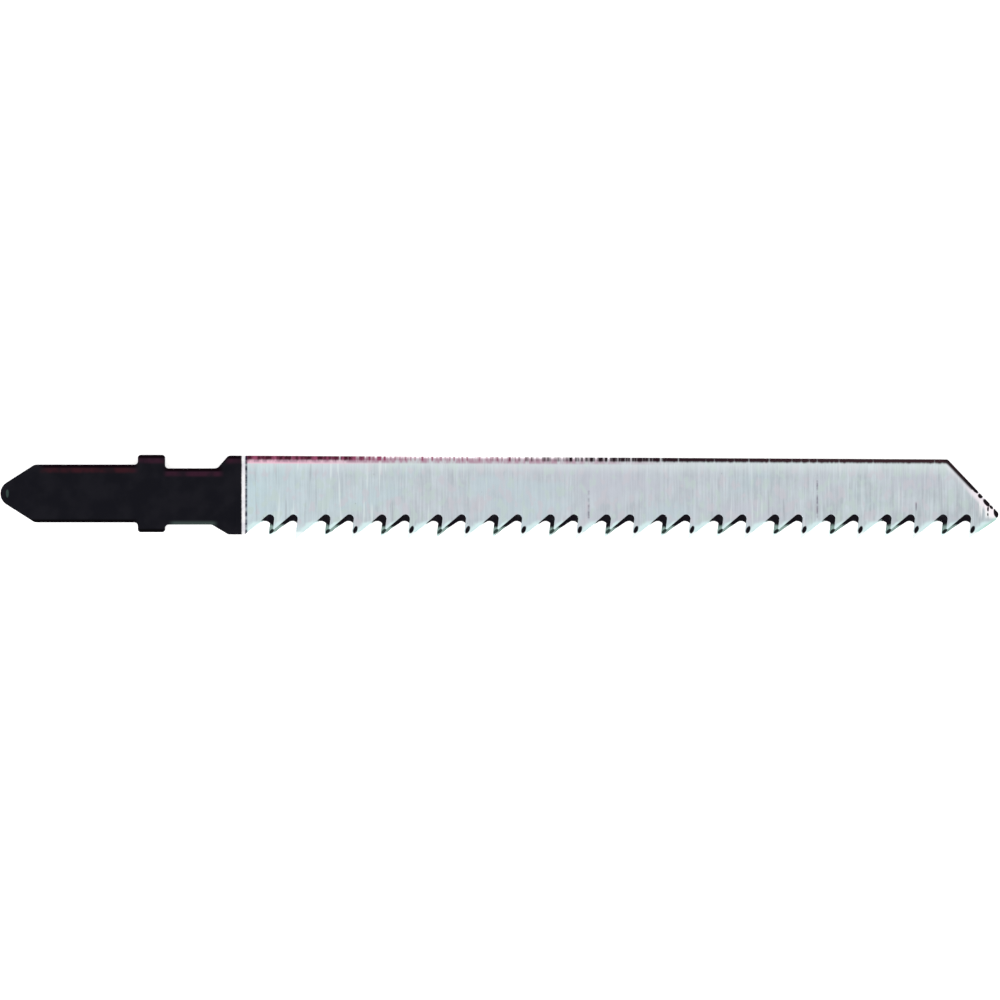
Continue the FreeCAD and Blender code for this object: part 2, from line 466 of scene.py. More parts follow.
@dataclass(frozen=True)
class GroundSteel:
    """Bright steel with grinding marks across the blade."""

    fine: Grain = Grain((6.0, 0.25, 0.25), seed=1.3, detail=2.0)
    wide: Grain = Grain((0.9, 0.14, 0.14), seed=5.1)
    wide_share: float = 0.45
    cloud: Grain = Grain((0.8, 0.8, 0.8), seed=7.7)
    cloud_share: float = 0.25
    dark: Colour = (0.418, 0.464, 0.494)
    light: Colour = (0.610, 0.684, 0.722)
    light_where: Step = Step(0.33, 0.67)
    roughness: Step = Step(0.3, 0.7, before=0.43, after=0.31)
    groove: float = 0.5

    # Wide and small clouds of colour
    tint: Grain = Grain((0.10, 0.22, 0.22), seed=9.7)
    cool: Colour = (0.500, 0.640, 0.680)
    cool_where: Step = Step(0.50, 0.64, after=0.5)
    lilac: Colour = (0.540, 0.550, 0.625)
    lilac_where: Step = Step(0.50, 0.36, after=0.5)
    heel_blue: Colour = (0.555, 0.715, 0.760)
    near_heel: Step = Step(24.0, 11.0, after=0.4)
    middle: Stripe = Stripe(44.0, half_width=26.0, fade=16.0)
    middle_lilac: float = 0.22
    haze: Grain = Grain((1.3, 0.9, 0.9), seed=11.3, detail=1.0)
    greenish: Colour = (0.520, 0.620, 0.590)
    greenish_where: Step = Step(0.55, 0.66, after=0.6)
    pinkish: Colour = (0.575, 0.560, 0.610)
    pinkish_where: Step = Step(0.45, 0.34, after=0.6)

    # Single lines and scratches, in stretches of the blade
    streaks: Grain = Grain((0.035, 0.0, 0.0), seed=12.0, detail=1.0)
    streaky_where: Step = Step(0.42, 0.62, before=0.35)
    lines: Grain = Grain((3.0, 0.16, 0.16), seed=14.2, detail=1.0)
    line: Colour = (0.720, 0.800, 0.800)
    line_where: Step = Step(0.63, 0.72, after=0.6)
    scratches: Grain = Grain((3.0, 0.16, 0.16), seed=17.9, detail=1.0)
    scratch: Colour = (0.330, 0.350, 0.380)
    scratch_where: Step = Step(0.63, 0.72, after=0.45)

    # Deep marks and specks
    long_marks: tuple[LongMark, ...] = (
        LongMark((43.8, -1.40), half_length=1.90, half_width=0.12),
        LongMark((66.7, -0.30), half_length=2.30, half_width=0.11),
        LongMark((76.6, -1.40), half_length=0.70, half_width=0.10),
    )
    long_mark: Colour = (0.200, 0.190, 0.240)
    dots: Grain = Grain((0.4, 1.3, 1.3), seed=19.0)
    dotted_where: Step = Step(0.38, 0.62, after=0.8)
    specks: Grain = Grain((2.4, 1.1, 1.1), seed=21.5, detail=2.0)
    speck: Colour = (0.140, 0.140, 0.160)
    speck_where: Step = Step(0.73, 0.79, after=0.6)

    def surface(self, nodes: FinishNodes) -> Surface:
        """Works out the finish.

        Args:
            nodes: The material's nodes.

        Returns:
            The finish.
        """
        fine = nodes.noise(self.fine)
        marks = nodes.blend(self.wide_share, fine, nodes.noise(self.wide))
        marks = nodes.blend(self.cloud_share, marks, nodes.noise(self.cloud))
        steel = nodes.blend(nodes.ramp(marks, self.light_where), self.dark, self.light)
        tint, haze, lines, scratches, dots, specks = (
            nodes.noise(grain)
            for grain in (self.tint, self.haze, self.lines, self.scratches, self.dots, self.specks)
        )
        streaky = nodes.ramp(nodes.noise(self.streaks), self.streaky_where)
        dotted = nodes.ramp(dots, self.dotted_where)
        for mask, colour in (
            (nodes.ramp(tint, self.cool_where), self.cool),
            (nodes.ramp(tint, self.lilac_where), self.lilac),
            (nodes.ramp(nodes.along, self.near_heel), self.heel_blue),
            (nodes.times(nodes.band(nodes.along, self.middle), self.middle_lilac), self.lilac),
            (nodes.ramp(haze, self.greenish_where), self.greenish),
            (nodes.ramp(haze, self.pinkish_where), self.pinkish),
            (nodes.times(nodes.ramp(lines, self.line_where), streaky), self.line),
            (nodes.times(nodes.ramp(scratches, self.scratch_where), streaky), self.scratch),
            *((nodes.times(mark.shape(nodes), dotted), self.long_mark) for mark in self.long_marks),
            (nodes.ramp(specks, self.speck_where), self.speck),
        ):
            steel = nodes.blend(mask, steel, colour)
        return Surface(
            colour=steel,
            roughness=nodes.ramp(marks, self.roughness),
            height=nodes.times(fine, self.groove),
        )


@dataclass(frozen=True)
class PolishedStrip:
    """The narrow bright strip between the coating and the start of the grinding."""

    shade: Colour = (0.78, 0.77, 0.82)
    bright: Colour = (0.95, 0.94, 0.95)
    patches: Grain = Grain((1.2, 0.9, 0.9), seed=31.0)
    bright_where: Step = Step(0.35, 0.65)
    roughness: float = 0.26
    unevenness: float = 0.05

    def surface(self, nodes: FinishNodes) -> Surface:
        """Works out the finish.

        Args:
            nodes: The material's nodes.

        Returns:
            The finish.
        """
        patches = nodes.noise(self.patches)
        return Surface(
            colour=nodes.blend(nodes.ramp(patches, self.bright_where), self.shade, self.bright),
            roughness=self.roughness,
            height=nodes.times(patches, self.unevenness),
        )


@dataclass(frozen=True)
class DarkSkinAndShade:
    """The dark skin on the edges and in the gullets, also laid as painted shade in the corner of the
    heel's step and along the back.
    """

    black: Colour = (0.0070, 0.0058, 0.0085)
    grey: Colour = (0.016, 0.017, 0.021)
    smears: Grain = Grain((1.6, 1.6, 0.5), seed=41.0)
    grey_where: Step = Step(0.52, 0.75)
    roughness: Step = Step(0.3, 0.7, before=0.38, after=0.52)
    scale: Grain = Grain((5.0, 5.0, 1.0), seed=43.0)
    scale_height: float = 0.25

    def surface(self, nodes: FinishNodes) -> Surface:
        """Works out the finish.

        Args:
            nodes: The material's nodes.

        Returns:
            The finish.
        """
        smears = nodes.noise(self.smears)
        return Surface(
            colour=nodes.blend(nodes.ramp(smears, self.grey_where), self.black, self.grey),
            metal=0.0,
            roughness=nodes.ramp(smears, self.roughness),
            height=nodes.times(nodes.noise(self.scale), self.scale_height),
        )


@dataclass(frozen=True)
class BlackCoating:
    """The satin black coating of the shank."""

    black: Colour = (0.0076, 0.0076, 0.0106)
    patch: Colour = (0.0104, 0.0102, 0.0136)
    clouds: Grain = Grain((0.5, 0.5, 0.5), seed=51.0, detail=4.0)
    patch_where: Step = Step(0.4, 0.65)
    metal: float = 0.5
    roughness: Step = Step(0.35, 0.65, before=0.36, after=0.48)
    pits: Grain = Grain((9.0, 9.0, 9.0), seed=53.0, detail=2.0)
    pit_depth: float = 0.22

    def surface(self, nodes: FinishNodes) -> Surface:
        """Works out the finish.

        Args:
            nodes: The material's nodes.

        Returns:
            The finish.
        """
        clouds = nodes.noise(self.clouds)
        return Surface(
            colour=nodes.blend(nodes.ramp(clouds, self.patch_where), self.black, self.patch),
            metal=self.metal,
            roughness=nodes.ramp(clouds, self.roughness),
            height=nodes.times(nodes.noise(self.pits), self.pit_depth),
        )


@dataclass(frozen=True)
class StraightEdge:
    """A straight edge of the outline, seen from above, in millimetres."""

    start: Place
    end: Place

    def depth(self, nodes: FinishNodes) -> bpy.types.NodeSocket:
        """How far a point lies inside the edge.

        Args:
            nodes: The material's nodes.

        Returns:
            The distance in millimetres, to the right of the way from start to end.
        """
        way = Vector(self.end) - Vector(self.start)
        inward = Vector((way.y, -way.x)).normalized()
        reach = nodes.dot(nodes.place, (inward.x, inward.y, 0.0))
        return nodes.sum(Sum.TAKE, reach, inward.dot(Vector(self.start)))


@dataclass(frozen=True)
class Ledge:
    """An edge of the shank that runs along the blade: its two ends and its Y, in millimetres."""

    start: float
    end: float
    height: float
    run_out: float = 0.8

    def stripe(self, nodes: FinishNodes, inside: Stripe) -> Channel:
        """A stripe beside the edge, which fades at the edge's two ends.

        Args:
            nodes: The material's nodes.
            inside: The stripe, whose middle is counted from the edge inward.

        Returns:
            The stripe, from 0 to 1.
        """
        middle = self.height - math.copysign(inside.middle, self.height)
        return nodes.times(
            nodes.band(nodes.across, replace(inside, middle=middle)),
            nodes.ramp(nodes.along, Step(self.start, self.start + self.run_out)),
            nodes.ramp(nodes.along, Step(self.end, self.end - self.run_out)),
        )


@dataclass
class Shank:
    """The black end that the saw clamps."""

    coating: BlackCoating = field(default_factory=BlackCoating)
    coating_end: float = 9.06
    softness: float = 0.075
    rag: Grain = Grain((2.0, 3.0, 3.0), seed=81.0)
    raggedness: float = 0.10

    # Colours beside the edges
    upper: tuple[Ledge, ...] = (
        Ledge(-11.4, -1.1, 2.89),
        Ledge(-1.9, 1.9, 3.85),
        Ledge(1.0, 7.4, 2.53),
        Ledge(7.2, 9.6, 3.80),
    )
    lower: tuple[Ledge, ...] = (
        Ledge(-12.6, -1.1, -2.89),
        Ledge(-1.9, 1.9, -3.85),
        Ledge(7.2, 9.6, -4.64),
    )
    neck: Ledge = Ledge(1.6, 6.8, -3.03)
    temper_stripe: Stripe = Stripe(0.55, half_width=0.42, fade=0.34)
    maroon: Colour = (0.034, 0.0100, 0.0145)
    violet: Colour = (0.034, 0.0115, 0.0225)
    violet_where: Step = Step(-2.0, -1.0)
    soot_stripe: Stripe = Stripe(0.05, half_width=0.34, fade=0.18)
    upper_soot: Colour = (0.0050, 0.0020, 0.0036)
    lower_soot: Colour = (0.0030, 0.0025, 0.0032)
    # A painted shadow: the green stripe along the neck's lower edge.
    neck_shadow_stripe: Stripe = Stripe(0.0, half_width=0.42, fade=0.40)
    green: Colour = (0.044, 0.062, 0.059)
    glint_spot: Oval = Oval((-14.42, 0.0), half_length=0.42, half_width=0.15, turn=90.0)
    glint: Colour = (0.055, 0.090, 0.080)
    glint_strength: float = 0.55

    # The sides and the worn edges
    side_where: Step = Step(0.5, 0.2)
    rubbing: Grain = Grain((0.7, 0.5, 0.5), seed=84.0)
    rubbed_where: Step = Step(0.36, 0.62, before=0.25)
    worn_edge: Colour = (0.030, 0.014, 0.014)
    wear: float = 0.6

    def dress(self, nodes: FinishNodes, look: Surface, edges: Channel) -> Surface:
        """Lays the coating, with the colours beside its edges on the faces alone.

        Args:
            nodes: The material's nodes.
            look: The finish under it.
            edges: 1 on the edges, where the coating is worn.

        Returns:
            The finish with the coating.
        """
        ragged = nodes.sum(Sum.TIMES_ADD, nodes.noise(self.rag), self.raggedness, nodes.along)
        middle = self.coating_end + self.raggedness / 2
        coated = nodes.ramp(ragged, Step(middle + self.softness, middle - self.softness))
        rubbed = nodes.ramp(nodes.noise(self.rubbing), self.rubbed_where)
        plain = coating = self.coating.surface(nodes)
        temper = nodes.blend(nodes.ramp(nodes.along, self.violet_where), self.maroon, self.violet)
        for ledge in self.upper:
            tempered = nodes.times(ledge.stripe(nodes, self.temper_stripe), rubbed)
            coating = coating.tinted(nodes, tempered, temper)
        for ledges, soot in ((self.upper, self.upper_soot), (self.lower, self.lower_soot)):
            for ledge in ledges:
                coating = coating.tinted(nodes, ledge.stripe(nodes, self.soot_stripe), soot)
        # Painted shadow along the neck's lower edge.
        coating = coating.tinted(nodes, self.neck.stripe(nodes, self.neck_shadow_stripe), self.green)
        glinting = nodes.times(nodes.oval(self.glint_spot), self.glint_strength)
        coating = coating.tinted(nodes, glinting, self.glint)
        coating = coating.under(nodes, nodes.ramp(nodes.flatness(), self.side_where), plain)
        coating = coating.tinted(nodes, nodes.times(edges, rubbed, self.wear), self.worn_edge)
        return look.under(nodes, coated, coating)


@dataclass
class Heel:
    """The end of the bright strip and the step down to the ground faces."""

    strip: PolishedStrip = field(default_factory=PolishedStrip)
    strip_where: Step = Step(9.45, 9.42)
    # The dark dotted line in the corner of the step is painted shade.
    shaded_corner: Stripe = Stripe(9.50, half_width=0.17, fade=0.11)
    dots: Grain = Grain((0.0, 2.2, 0.0), seed=71.0)
    dotted_where: Step = Step(0.38, 0.60, before=0.45, after=0.95)
    slate: Colour = (0.025, 0.022, 0.060)
    slate_share: float = 0.7

    def dress(self, nodes: FinishNodes, look: Surface, dark_skin_and_shade: Surface) -> Surface:
        """Lays the bright strip, and the dark dotted line in the corner of the step.

        Args:
            nodes: The material's nodes.
            look: The finish of the ground faces.
            dark_skin_and_shade: The dark skin.

        Returns:
            The finish with both.
        """
        on_strip = nodes.ramp(nodes.along, self.strip_where)
        look = look.under(nodes, on_strip, self.strip.surface(nodes))
        # Painted shade: the dark dotted line in the corner of the step.
        dots = nodes.ramp(nodes.noise(self.dots), self.dotted_where)
        line = nodes.times(nodes.band(nodes.along, self.shaded_corner), dots)
        return look.under(nodes, line, dark_skin_and_shade.tinted(nodes, self.slate_share, self.slate))


@dataclass
class BackAndNose:
    """The dark rounded edges of the back and the nose."""

    back: StraightEdge = StraightEdge((9.45, 3.80), (79.9, 3.42))
    nose: StraightEdge = StraightEdge((79.77, 3.42), (85.09, -2.187))
    underside: StraightEdge = StraightEdge((84.80, -2.42), (81.86, -4.40))
    upright_where: Step = Step(0.40, 0.15)
    wall_depth: Step = Step(0.60, 0.45)

    # The dark skin
    maroon: Colour = (0.052, 0.008, 0.018)
    maroon_where: Step = Step(42.0, 30.0, before=0.2)
    brown: Colour = (0.042, 0.020, 0.024)
    brown_where: Step = Step(45.0, 70.0, after=0.8)
    nose_brown_where: Step = Step(0.6, 2.0, before=0.10, after=0.45)
    rust: Colour = (0.085, 0.048, 0.040)
    rusting: Grain = Grain((0.5, 1.0, 1.4), seed=69.0, detail=4.0)
    rusty_where: Step = Step(0.44, 0.64, after=0.7)

    # The line along the back: partly dark skin, partly painted shade of the rounded edge
    line_width: float = 0.56
    dashes: Grain = Grain((2.3, 0.0, 0.0), seed=61.0, detail=1.0)
    dashed_where: Step = Step(0.62, 0.86)
    waver: float = 0.30
    wholeness: float = 0.45
    whole_at_heel: Step = Step(28.0, 14.0, before=0.42)
    whole_at_nose: Step = Step(33.0, 60.0, before=0.42)
    worn_where: Step = Step(58.0, 38.0)
    magenta: Colour = (0.260, 0.060, 0.120)
    magenta_patches: Grain = Grain((1.5, 0.0, 0.0), seed=64.0, detail=1.0)
    magenta_where: Step = Step(0.42, 0.66)
    all_magenta: Step = Step(19.0, 23.0)
    magenta_end: Step = Step(40.0, 32.0)

    # The lighter zone by the back
    pale: Colour = (0.76, 0.84, 0.84)
    pale_zone: Step = Step(1.9, 0.4, after=0.45)
    pink: Colour = (0.90, 0.56, 0.67)
    pink_stripe: Stripe = Stripe(0.55, half_width=0.32, fade=0.20)
    pink_where: Step = Step(27.0, 13.0)
    rose_white: Colour = (0.97, 0.88, 0.93)
    bare_rim: Step = Step(0.30, 0.12)
    mauve: Colour = (0.44, 0.27, 0.35)
    mauve_stripe: Stripe = Stripe(0.42, half_width=0.38, fade=0.28)
    blotches: Grain = Grain((2.2, 0.5, 0.0), seed=63.0)
    blotchy_where: Step = Step(0.34, 0.60, before=0.25, after=0.95)

    # The nose
    facet_white: Colour = (0.96, 0.96, 0.96)
    facet_streaks: Grain = Grain((4.0, 0.5, 0.5), seed=65.0, detail=2.0)
    streak_length: float = 3.2
    facet_where: Step = Step(84.60, 85.55, after=0.92)
    facet_top: Step = Step(-0.45, -1.15)
    facet_foot: Step = Step(-2.7, -2.2)
    # A painted highlight: the rose-white band inside the nose's dark line.
    nose_highlight_stripe: Stripe = Stripe(0.35, half_width=0.60, fade=0.45)
    nose_highlight_where: Step = Step(1.2, -0.3, before=0.25, after=0.75)
    nose_highlight_top: Step = Step(3.1, 2.7)
    rim_green: Colour = (0.44, 0.72, 0.62)
    rim_depth: Step = Step(0.30, 0.04)
    rim_where: Step = Step(81.9, 83.6)
    rim_patches: Grain = Grain((1.2, 1.2, 0.4), seed=67.0)
    rim_patchy_where: Step = Step(0.36, 0.62, before=0.30, after=0.85)
    nose_line: Step = Step(0.504, 0.2576)
    nose_line_where: Step = Step(0.31, 0.41)
    spots: tuple[Oval, ...] = (
        Oval((82.53, 0.32), half_length=0.42, half_width=0.19, turn=-47.0),
        Oval((83.03, -0.25), half_length=0.27, half_width=0.24, turn=-46.0),
        Oval((83.65, -0.94), half_length=0.50, half_width=0.24, turn=-51.0),
        Oval((84.13, -1.38), half_length=0.24, half_width=0.15, turn=-50.0),
        Oval((84.62, -1.94), half_length=0.53, half_width=0.27, turn=102.0),
        Oval((83.80, -1.55), half_length=0.26, half_width=0.10, turn=88.0),
        Oval((83.78, -2.10), half_length=0.16, half_width=0.07, turn=92.0),
    )

    def back_line(self, nodes: FinishNodes, depth: Channel) -> bpy.types.NodeSocket:
        """The dark line along the back, partly dark skin and partly painted shade of the rounded
        edge, broken into dashes in the middle of the blade.

        Args:
            nodes: The material's nodes.
            depth: How far a point lies inside the edge.

        Returns:
            The line, from 0 to 1.
        """
        whole = nodes.sum(
            Sum.LARGER,
            nodes.ramp(nodes.along, self.whole_at_heel),
            nodes.ramp(nodes.along, self.whole_at_nose),
        )
        dashes = nodes.noise(self.dashes)
        kept = nodes.sum(Sum.TIMES_ADD, whole, self.wholeness, dashes)
        wavering = nodes.sum(Sum.ADD, depth, self.waver / 2)
        wavering = nodes.sum(Sum.TIMES_ADD, dashes, -self.waver, wavering)
        return nodes.times(
            nodes.ramp(kept, self.dashed_where),
            nodes.ramp(wavering, Step(self.line_width, self.line_width / 2)),
        )

    def lay_wall(
        self, nodes: FinishNodes, look: Surface, depth: Channel, skin: Surface
    ) -> Surface:
        """Lays the dark skin, mottled with rust, on the upright side of an edge.

        Args:
            nodes: The material's nodes.
            look: The finish under it.
            depth: How far a point lies inside the edge.
            skin: The dark skin.

        Returns:
            The finish with it.
        """
        upright = nodes.ramp(nodes.flatness(), self.upright_where)
        wall = nodes.times(upright, nodes.ramp(depth, self.wall_depth))
        rusty = nodes.ramp(nodes.noise(self.rusting), self.rusty_where)
        return look.under(nodes, wall, skin.tinted(nodes, rusty, self.rust))

    def dress_back(self, nodes: FinishNodes, look: Surface, skin: Surface) -> Surface:
        """Lays the lighter zone by the back, its temper colours and its dark line.

        Args:
            nodes: The material's nodes.
            look: The finish under them.
            skin: The dark skin of the edges.

        Returns:
            The finish with them.
        """
        depth = self.back.depth(nodes)
        worn = nodes.ramp(nodes.along, self.worn_where)
        pink = nodes.times(
            nodes.band(depth, self.pink_stripe), nodes.ramp(nodes.along, self.pink_where)
        )
        blotches = nodes.ramp(nodes.noise(self.blotches), self.blotchy_where)
        for mask, colour in (
            (nodes.ramp(depth, self.pale_zone), self.pale),
            (pink, self.pink),
            (nodes.times(nodes.ramp(depth, self.bare_rim), worn), self.rose_white),
            (nodes.times(nodes.band(depth, self.mauve_stripe), worn, blotches), self.mauve),
        ):
            look = look.tinted(nodes, mask, colour)
        magenta = nodes.ramp(nodes.noise(self.magenta_patches), self.magenta_where)
        magenta = nodes.sum(Sum.LARGER, magenta, nodes.ramp(nodes.along, self.all_magenta))
        magenta = nodes.times(magenta, nodes.ramp(nodes.along, self.magenta_end))
        # The line is partly dark skin and partly painted shade of the rounded edge.
        back_line_skin_and_shade = skin.tinted(nodes, magenta, self.magenta)
        look = look.under(nodes, self.back_line(nodes, depth), back_line_skin_and_shade)
        return self.lay_wall(nodes, look, depth, skin)

    def dress_nose(self, nodes: FinishNodes, look: Surface, skin: Surface) -> Surface:
        """Lays the nose's bright facet, its painted highlight inside the dark line and its pale
        rims, its dark line and its dark spots.

        Args:
            nodes: The material's nodes.
            look: The finish under them.
            skin: The dark skin of the edges.

        Returns:
            The finish with them.
        """
        depth = self.nose.depth(nodes)
        streaks = nodes.noise(self.facet_streaks)
        streaked = nodes.sum(Sum.TIMES_ADD, streaks, self.streak_length, nodes.along)
        facet = nodes.times(
            nodes.ramp(streaked, self.facet_where),
            nodes.ramp(nodes.across, self.facet_top),
            nodes.ramp(nodes.across, self.facet_foot),
        )
        # Painted highlight inside the nose's dark line.
        nose_highlight = nodes.times(
            nodes.band(depth, self.nose_highlight_stripe),
            nodes.ramp(nodes.across, self.nose_highlight_where),
            nodes.ramp(nodes.across, self.nose_highlight_top),
        )
        rim = nodes.times(
            nodes.ramp(nodes.along, self.rim_where),
            nodes.ramp(self.underside.depth(nodes), self.rim_depth),
            nodes.ramp(nodes.noise(self.rim_patches), self.rim_patchy_where),
        )
        for mask, colour in (
            (facet, self.facet_white),
            (nose_highlight, self.rose_white),
            (rim, self.rim_green),
        ):
            look = look.tinted(nodes, mask, colour)
        line = nodes.times(
            nodes.ramp(depth, self.nose_line), nodes.ramp(nodes.across, self.nose_line_where)
        )
        for mask in (line, *(nodes.oval(spot) for spot in self.spots)):
            look = look.under(nodes, mask, skin)
        return self.lay_wall(nodes, look, depth, skin)

    def dress(self, nodes: FinishNodes, look: Surface, dark_skin_and_shade: Surface) -> Surface:
        """Dresses both edges.

        Args:
            nodes: The material's nodes.
            look: The finish of the ground faces.
            dark_skin_and_shade: The dark skin.

        Returns:
            The finish with them.
        """
        skin = dark_skin_and_shade.tinted(nodes, nodes.ramp(nodes.along, self.maroon_where), self.maroon)
        skin = skin.tinted(nodes, nodes.ramp(nodes.along, self.brown_where), self.brown)
        nose_brown = nodes.ramp(nodes.across, self.nose_brown_where)
        look = self.dress_back(nodes, look, skin)
        return self.dress_nose(nodes, look, dark_skin_and_shade.tinted(nodes, nose_brown, self.brown))


@dataclass
class ToothRow:
    """The teeth, whose gullets are dark and whose backs have painted highlights.

    The even teeth are wide at the upper face and the odd ones at the lower.
    """

    first_tip: float = 11.9
    pitch: float = 2.81
    shift: float = 0.07
    tip_depth: float = 4.17
    slant: float = 0.21
    back_angle: float = 41.0

    # Painted highlights: the faces near the points and the rims of the backs
    pale: Colour = (0.62, 0.78, 0.79)
    highlight_near_points: Step = Step(-2.6, -4.17, after=0.5)
    rim: Colour = (0.68, 0.86, 0.86)
    rim_strength: float = 0.9
    rim_rag: Grain = Grain((1.3, 1.3, 1.3), seed=103.0)
    rim_raggedness: float = 0.7
    wide_rim: Step = Step(1.00, 0.56)
    narrow_rim: Step = Step(0.72, 0.462)
    rim_start: Step = Step(-0.15, -0.05)
    rim_top: Step = Step(-2.55, -3.05)

    # The walls of the gullets, with painted highlight low down and over the even backs
    wall_where: Step = Step(0.96, 0.90)
    gullet_top: Step = Step(-1.5, -1.7)
    stain: Grain = Grain((1.4, 1.4, 1.4), seed=105.0)
    stain_depth: float = 0.5
    middle: Stripe = Stripe(38.0, half_width=22.0, fade=12.0)
    middle_depth: float = 0.22
    verdigris: Colour = (0.24, 0.34, 0.31)
    verdigris_where: Step = Step(-2.75, -3.10, after=0.9)
    bright_where: Step = Step(-3.45, -3.85, after=0.8)
    even_back_highlight: Stripe = Stripe(0.0, half_width=1.4, fade=0.1)
    back_where: Step = Step(0.05, 0.25)
    highlight_back_where: Step = Step(-2.36, -2.68)

    # The points, with a painted highlight on the tips
    tip_highlight: Colour = (0.90, 0.97, 0.97)
    tip_where: Step = Step(-3.75, -3.95)
    tip_face: Step = Step(0.2, 0.5)
    front_spot: Oval = Oval((0.175, -3.62), half_length=0.42, half_width=0.22, turn=68.0)
    front_spots_from: Step = Step(15.54, 15.74)
    point_spot: Oval = Oval((0.13, -3.79), half_length=0.33, half_width=0.18, turn=44.0)
    dark_verdigris: Colour = (0.030, 0.055, 0.048)
    least_verdigris: float = 0.3
    middle_verdigris: float = 0.6

    def at_every_second_tooth(
        self, nodes: FinishNodes, first: float, facing_up: Channel
    ) -> bpy.types.NodeSocket:
        """How far along a point lies from the nearest of the places at every second tooth.

        Args:
            nodes: The material's nodes.
            first: The first such place.
            facing_up: The flat normal's Z. On a surface that faces down, the places go to the
                other teeth.

        Returns:
            The distance.
        """
        faces_down = nodes.sum(Sum.LESS_THAN, facing_up, 0.0)
        to_other_teeth = nodes.times(faces_down, self.pitch - self.shift)
        from_first = nodes.sum(Sum.TAKE, nodes.along, first)
        from_first = nodes.sum(Sum.ADD, from_first, to_other_teeth)
        return nodes.sum(Sum.WRAP, from_first, self.pitch, -self.pitch)

    def highlight_along_backs(
        self, nodes: FinishNodes, foot: float, edge: Step, facing_up: Channel
    ) -> bpy.types.NodeSocket:
        """A painted highlight along the back of every second tooth.

        Args:
            nodes: The material's nodes.
            foot: Where the first such back starts, at the depth of the tips.
            edge: How far from the back the rim ends, with its raggedness added.
            facing_up: The flat normal's Z.

        Returns:
            The rim, from 0 to 1.
        """
        angle = math.radians(self.back_angle)
        along_foot = self.at_every_second_tooth(nodes, foot, facing_up)
        inside = nodes.times(nodes.sum(Sum.ADD, nodes.across, self.tip_depth), math.cos(angle))
        inside = nodes.sum(Sum.TIMES_ADD, along_foot, -math.sin(angle), inside)
        ragged = nodes.noise(self.rim_rag)
        ragged = nodes.sum(Sum.TIMES_ADD, ragged, self.rim_raggedness, inside)
        return nodes.times(
            nodes.ramp(ragged, edge),
            nodes.ramp(inside, self.rim_start),
            nodes.ramp(nodes.across, self.rim_top),
            self.rim_strength,
        )

    def dress(self, nodes: FinishNodes, look: Surface, dark_skin_and_shade: Surface) -> Surface:
        """Lays the painted highlights near the points, along the backs, on the lower gullet walls
        and on the tips, the dark skin of the gullets and the dark spots.

        Args:
            nodes: The material's nodes.
            look: The finish of the ground faces.
            dark_skin_and_shade: The dark skin.

        Returns:
            The finish with them.
        """
        away_from_shank, _, facing_up = nodes.parts(nodes.normal(Normal.FLAT))
        flatness = nodes.sum(Sum.SIZE, facing_up)
        even_tip = self.first_tip + self.pitch - self.shift
        # Painted highlight on the faces near the points.
        look = look.tinted(nodes, nodes.ramp(nodes.across, self.highlight_near_points), self.pale)
        # Painted highlights along the backs of every second tooth.
        for foot, edge in (
            (even_tip + self.shift + self.slant, self.wide_rim),
            (self.first_tip - self.shift - self.slant, self.narrow_rim),
        ):
            back_highlights = self.highlight_along_backs(nodes, foot, edge, facing_up)
            look = look.tinted(nodes, back_highlights, self.rim)

        middle = nodes.band(nodes.along, self.middle)
        level = nodes.noise(self.stain)
        level = nodes.sum(Sum.TIMES_ADD, level, self.stain_depth, nodes.across)
        level = nodes.sum(Sum.TIMES_ADD, middle, self.middle_depth, level)
        even_gullet = self.at_every_second_tooth(nodes, even_tip + self.pitch / 2, facing_up)
        highlight_over_even_back = nodes.times(
            nodes.band(even_gullet, self.even_back_highlight),
            nodes.ramp(away_from_shank, self.back_where),
            nodes.ramp(level, self.highlight_back_where),
        )
        # The rims' pale colour laid on the lower walls and over the even backs is painted highlight.
        bright = replace(look, colour=self.rim)
        skin = dark_skin_and_shade.tinted(nodes, nodes.ramp(level, self.verdigris_where), self.verdigris)
        skin = skin.under(nodes, nodes.ramp(level, self.bright_where), bright)
        skin = skin.under(nodes, highlight_over_even_back, bright)
        walls = nodes.times(
            nodes.ramp(flatness, self.wall_where), nodes.ramp(nodes.across, self.gullet_top)
        )
        look = look.under(nodes, walls, skin)

        # Painted highlight on the tips.
        tip_highlights = nodes.times(
            nodes.ramp(nodes.across, self.tip_where), nodes.ramp(flatness, self.tip_face)
        )
        look = look.tinted(nodes, tip_highlights, self.tip_highlight)
        green = nodes.sum(Sum.TIMES_ADD, middle, self.middle_verdigris, self.least_verdigris)
        green_skin = dark_skin_and_shade.tinted(nodes, green, self.dark_verdigris)
        after_first_tooth = nodes.ramp(nodes.along, self.front_spots_from)
        for tip, spot, skin, shown in (
            (even_tip, self.front_spot, dark_skin_and_shade, after_first_tooth),
            (self.first_tip, self.point_spot, green_skin, 1.0),
        ):
            beside = self.at_every_second_tooth(nodes, tip + spot.place[0], facing_up)
            look = look.under(nodes, nodes.times(nodes.oval(spot, beside), shown), skin)
        return look


